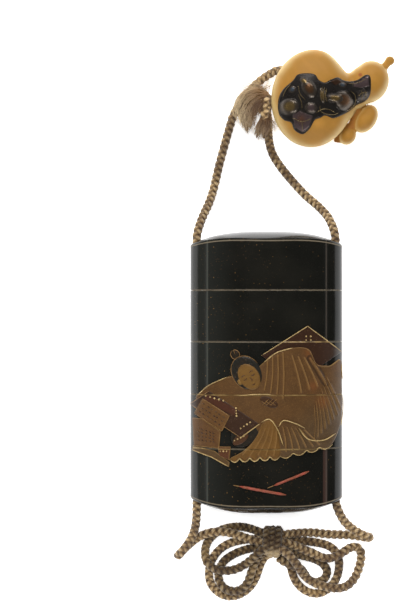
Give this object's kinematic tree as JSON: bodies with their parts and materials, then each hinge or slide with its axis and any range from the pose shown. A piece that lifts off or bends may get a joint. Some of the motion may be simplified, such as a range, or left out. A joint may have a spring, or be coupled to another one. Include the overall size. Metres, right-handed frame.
{
  "type": "inro case with cord and netsuke",
  "caption": "Oval lacquered inro of stacked, nested boxes with a gold relief picture, on a braided cord tied in a bow below and ended by an inlaid double-gourd netsuke.",
  "frame": {"origin": "middle of the case's back where it rests, without its cord and netsuke", "axes": "+X across the case's width, +Y from its bottom to its lid, +Z out of its front, as it lies on its back"},
  "size_m": [0.0725, 0.1825, 0.0238],
  "materials": {
    "lacquer": "polished black lacquer with gold relief",
    "cord": "braided silk cord, dull brown-gold",
    "ivory": "polished aged ivory, honey coloured",
    "inlay": "dark patinated metal with brassy high spots"
  },
  "bodies": {
    "root": {"lid": "lacquer", "upper_box": "lacquer", "middle_box": "lacquer", "lower_box": "lacquer", "bottom_box": "lacquer", "cord_left": "cord", "cord_right": "cord", "bow_loop_left_upper": "cord", "bow_loop_left_outer": "cord", "bow_loop_left_inner": "cord", "bow_loop_right_outer": "cord", "bow_loop_right_inner": "cord", "bow_loop_right_wide": "cord", "bow_knot": "cord", "end_knot": "cord", "netsuke": "ivory", "netsuke_inlay": "inlay"}
  },
  "joints": []
}
